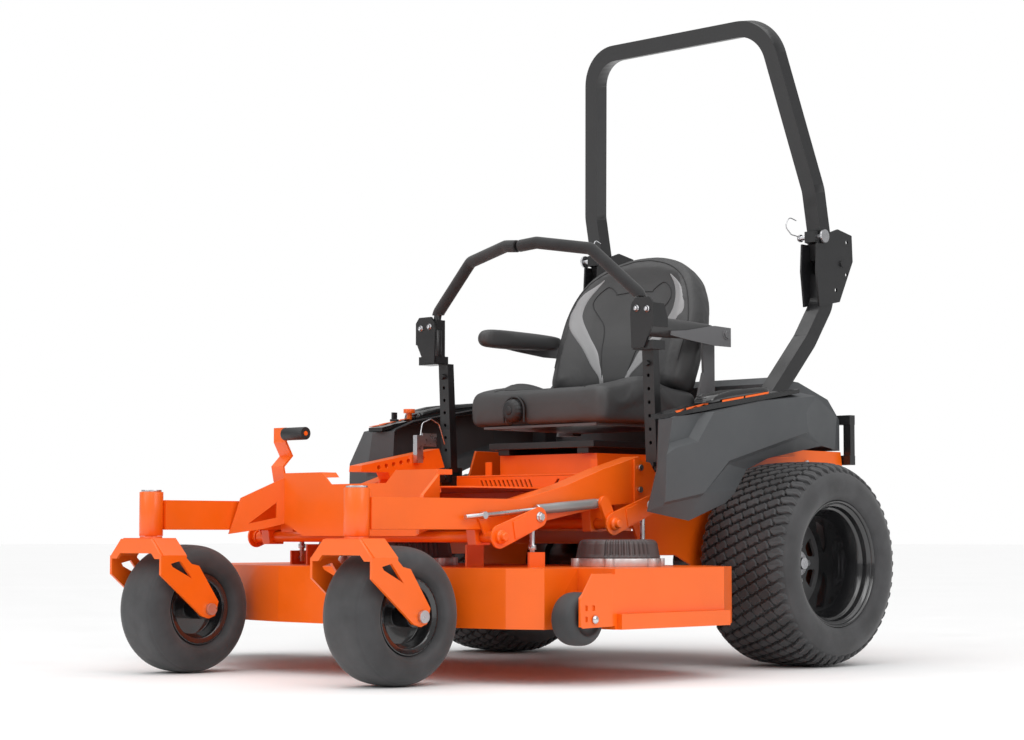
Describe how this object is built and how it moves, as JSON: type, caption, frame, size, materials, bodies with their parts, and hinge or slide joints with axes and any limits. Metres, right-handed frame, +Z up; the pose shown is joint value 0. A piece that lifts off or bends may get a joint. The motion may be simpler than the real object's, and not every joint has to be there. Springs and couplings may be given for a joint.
{
  "type": "zero turn mower",
  "caption": "Ride-on zero turn mower: caster front wheels, drive rear wheels, twin steering levers, sprung seat, folding roll bar and a lifting side-discharge deck with spinning blades.",
  "frame": {"origin": "middle of the outline (wheels, deck, chute and bumper) at ground level; the mower's own mid-plane is x = +0.115 because the discharge chute stands out on the right", "axes": "+Z up, front of the mower faces -Y, operator's left is +X"},
  "size_m": [1.78, 1.99, 1.8617],
  "materials": {
    "orange_paint": "gloss",
    "black_paint": "satin",
    "grey_paint": "satin",
    "gloss_rim": "gloss",
    "zinc": "satin",
    "blade_steel": "satin",
    "cast_alloy": "satin",
    "dark_plastic": "textured",
    "black_plastic": "textured",
    "cover_plastic": "satin",
    "tyre_rubber": "matte",
    "roller_rubber": "matte",
    "foam_grip": "matte",
    "vinyl": "satin"
  },
  "bodies": {
    "chassis": {"main_frame": "orange_paint", "floor_pan": "orange_paint", "battery_box": "orange_paint", "battery_and_controllers": "black_plastic", "wheel_motors": "black_paint", "console_trays": "black_plastic", "rear_hood": "dark_plastic", "rear_bumper": "black_paint", "rops_lower": "black_paint", "frame_bolts": "zinc", "height_gate": "orange_paint", "fender_left": "dark_plastic", "fender_right": "dark_plastic"},
    "rops_fold": {"rops_hoop": "black_paint"},
    "seat_carriage": {"seat_slides": "black_paint"},
    "seat": {"seat_pan": "grey_paint", "seat_cushion": "vinyl", "seat_back": "vinyl"},
    "seat_dial": {"seat_knob": "black_plastic"},
    "deck": {"deck_shell": "orange_paint", "spindle_bases": "cast_alloy", "spindle_covers": "cover_plastic", "deck_hangers": "zinc"},
    "chute": {"discharge_chute": "black_plastic"},
    "front_lift": {"lift_front": "orange_paint"},
    "rear_lift": {"lift_rear": "orange_paint"},
    "link_rods": {"lift_rods": "zinc"},
    "pedal_wheel": {"pedal_roller": "black_plastic"},
    "height_stop": {"height_pin": "zinc"},
    "key": {"key_switch": "black_plastic"},
    "blade_switch": {"blade_knob": "orange_paint"},
    "cutter_left": {"blade_left": "blade_steel"},
    "cutter_centre": {"blade_centre": "blade_steel"},
    "cutter_right": {"blade_right": "blade_steel"},
    "caster_left": {"caster_fork_left": "orange_paint", "caster_axle_left": "zinc"},
    "caster_wheel_left": {"caster_rim_left": "gloss_rim", "caster_tyre_left": "tyre_rubber"},
    "drive_wheel_left": {"rear_rim_left": "gloss_rim", "rear_tyre_left": "tyre_rubber", "rear_hub_left": "zinc"},
    "lever_pivot_left": {"lever_base_left": "black_paint"},
    "steering_left": {"lever_left": "black_paint", "lever_grip_left": "foam_grip"},
    "arm_left": {"armrest_left": "vinyl"},
    "scalp_wheel_left": {"deck_roller_left": "roller_rubber"},
    "lock_pin_left": {"rops_pin_left": "zinc"},
    "caster_right": {"caster_fork_right": "orange_paint", "caster_axle_right": "zinc"},
    "caster_wheel_right": {"caster_rim_right": "gloss_rim", "caster_tyre_right": "tyre_rubber"},
    "drive_wheel_right": {"rear_rim_right": "gloss_rim", "rear_tyre_right": "tyre_rubber", "rear_hub_right": "zinc"},
    "lever_pivot_right": {"lever_base_right": "black_paint"},
    "steering_right": {"lever_right": "black_paint", "lever_grip_right": "foam_grip"},
    "arm_right": {"armrest_right": "vinyl"},
    "scalp_wheel_right": {"deck_roller_right": "roller_rubber"},
    "lock_pin_right": {"rops_pin_right": "zinc"}
  },
  "joints": [
    {"name": "blade_left_spin", "type": "hinge", "parent": "deck", "child": "cutter_left", "pos_m": [0.615, -0.14, 0.16], "axis": [0, 0, 1], "continuous": true},
    {"name": "blade_centre_spin", "type": "hinge", "parent": "deck", "child": "cutter_centre", "pos_m": [0.115, -0.39, 0.16], "axis": [0, 0, 1], "continuous": true},
    {"name": "blade_right_spin", "type": "hinge", "parent": "deck", "child": "cutter_right", "pos_m": [-0.385, -0.14, 0.16], "axis": [0, 0, 1], "continuous": true},
    {"name": "caster_left_swivel", "type": "hinge", "parent": "chassis", "child": "caster_left", "pos_m": [0.508, -0.939, 0.4], "axis": [0, 0, 1], "continuous": true},
    {"name": "caster_left_roll", "type": "hinge", "parent": "caster_left", "child": "caster_wheel_left", "pos_m": [0.508, -0.83, 0.165], "axis": [1, 0, 0], "continuous": true},
    {"name": "drive_wheel_left_roll", "type": "hinge", "parent": "chassis", "child": "drive_wheel_left", "pos_m": [0.678, 0.532, 0.277], "axis": [1, 0, 0], "continuous": true},
    {"name": "lever_left_drive", "type": "hinge", "parent": "chassis", "child": "lever_pivot_left", "pos_m": [0.499, 0.132, 0.48], "axis": [1, 0, 0], "range_deg": [-12, 20], "stiffness_Nm_per_rad": 90},
    {"name": "lever_left_swing", "type": "hinge", "parent": "lever_pivot_left", "child": "steering_left", "pos_m": [0.499, 0.132, 0.52], "axis": [0, 1, 0], "range_deg": [0, 22]},
    {"name": "armrest_left_fold", "type": "hinge", "parent": "seat", "child": "arm_left", "pos_m": [0.418, 0.52, 0.918], "axis": [-1, 0, 0], "range_deg": [0, 80]},
    {"name": "deck_roller_left_spin", "type": "hinge", "parent": "deck", "child": "scalp_wheel_left", "pos_m": [0.824, -0.523, 0.157], "axis": [1, 0, 0], "continuous": true},
    {"name": "rops_pin_left_pull", "type": "slide", "parent": "rops_fold", "child": "lock_pin_left", "axis": [1, 0, 0], "range_m": [0, 0.014]},
    {"name": "caster_right_swivel", "type": "hinge", "parent": "chassis", "child": "caster_right", "pos_m": [-0.278, -0.939, 0.4], "axis": [0, 0, 1], "continuous": true},
    {"name": "caster_right_roll", "type": "hinge", "parent": "caster_right", "child": "caster_wheel_right", "pos_m": [-0.278, -0.83, 0.165], "axis": [1, 0, 0], "continuous": true},
    {"name": "drive_wheel_right_roll", "type": "hinge", "parent": "chassis", "child": "drive_wheel_right", "pos_m": [-0.448, 0.532, 0.277], "axis": [1, 0, 0], "continuous": true},
    {"name": "lever_right_drive", "type": "hinge", "parent": "chassis", "child": "lever_pivot_right", "pos_m": [-0.269, 0.132, 0.48], "axis": [1, 0, 0], "range_deg": [-12, 20], "stiffness_Nm_per_rad": 90},
    {"name": "lever_right_swing", "type": "hinge", "parent": "lever_pivot_right", "child": "steering_right", "pos_m": [-0.269, 0.132, 0.52], "axis": [0, -1, 0], "range_deg": [0, 22]},
    {"name": "armrest_right_fold", "type": "hinge", "parent": "seat", "child": "arm_right", "pos_m": [-0.188, 0.52, 0.918], "axis": [-1, 0, 0], "range_deg": [0, 80]},
    {"name": "deck_roller_right_spin", "type": "hinge", "parent": "deck", "child": "scalp_wheel_right", "pos_m": [-0.594, -0.523, 0.157], "axis": [1, 0, 0], "continuous": true},
    {"name": "rops_pin_right_pull", "type": "slide", "parent": "rops_fold", "child": "lock_pin_right", "axis": [-1, 0, 0], "range_m": [0, 0.014]},
    {"name": "rops_fold_back", "type": "hinge", "parent": "chassis", "child": "rops_fold", "pos_m": [0.115, 0.898, 1.14], "axis": [-1, 0, 0], "range_deg": [0, 110]},
    {"name": "seat_slide", "type": "slide", "parent": "chassis", "child": "seat_carriage", "axis": [0, 1, 0], "range_m": [-0.075, 0.075]},
    {"name": "seat_suspension", "type": "slide", "parent": "seat_carriage", "child": "seat", "axis": [0, 0, 1], "range_m": [-0.03, 0], "stiffness_N_per_m": 20000, "springref_m": 0.04},
    {"name": "seat_knob_turn", "type": "hinge", "parent": "seat", "child": "seat_dial", "pos_m": [0.045, 0.07, 0.7], "axis": [0, 1, 0], "range_deg": [-170, 170]},
    {"name": "deck_height", "type": "slide", "parent": "chassis", "child": "deck", "axis": [0, 0, 1], "range_m": [-0.085, 0]},
    {"name": "front_lift_turn", "type": "hinge", "parent": "chassis", "child": "front_lift", "pos_m": [0.115, -0.533, 0.35], "axis": [1, 0, 0], "range_deg": [-33.5, 0]},
    {"name": "rear_lift_turn", "type": "hinge", "parent": "chassis", "child": "rear_lift", "pos_m": [0.115, -0.114, 0.383], "axis": [1, 0, 0], "range_deg": [-33.5, 0]},
    {"name": "link_rod_turn", "type": "hinge", "parent": "front_lift", "child": "link_rods", "pos_m": [0.115, -0.559, 0.403], "axis": [1, 0, 0], "range_deg": [0, 33.5]},
    {"name": "pedal_roller_spin", "type": "hinge", "parent": "front_lift", "child": "pedal_wheel", "pos_m": [-0.141, -0.572, 0.622], "axis": [1, 0, 0], "continuous": true},
    {"name": "chute_lift", "type": "hinge", "parent": "deck", "child": "chute", "pos_m": [-0.653, -0.22, 0.262], "axis": [0, 1, 0], "range_deg": [0, 95]},
    {"name": "height_pin_pull", "type": "slide", "parent": "chassis", "child": "height_stop", "axis": [1, 0, 0], "range_m": [0, 0.05]},
    {"name": "key_turn", "type": "hinge", "parent": "chassis", "child": "key", "pos_m": [-0.425, 0.05, 0.69], "axis": [0, 0, -1], "range_deg": [0, 75]},
    {"name": "blade_switch_pull", "type": "slide", "parent": "chassis", "child": "blade_switch", "axis": [0, 0, 1], "range_m": [0, 0.012]}
  ],
  "couplings": [
    {"joint": "front_lift_turn", "follows": "deck_height", "rad_per_m": 6.7555},
    {"joint": "rear_lift_turn", "follows": "deck_height", "rad_per_m": 6.7555},
    {"joint": "link_rod_turn", "follows": "deck_height", "rad_per_m": -6.7555}
  ]
}
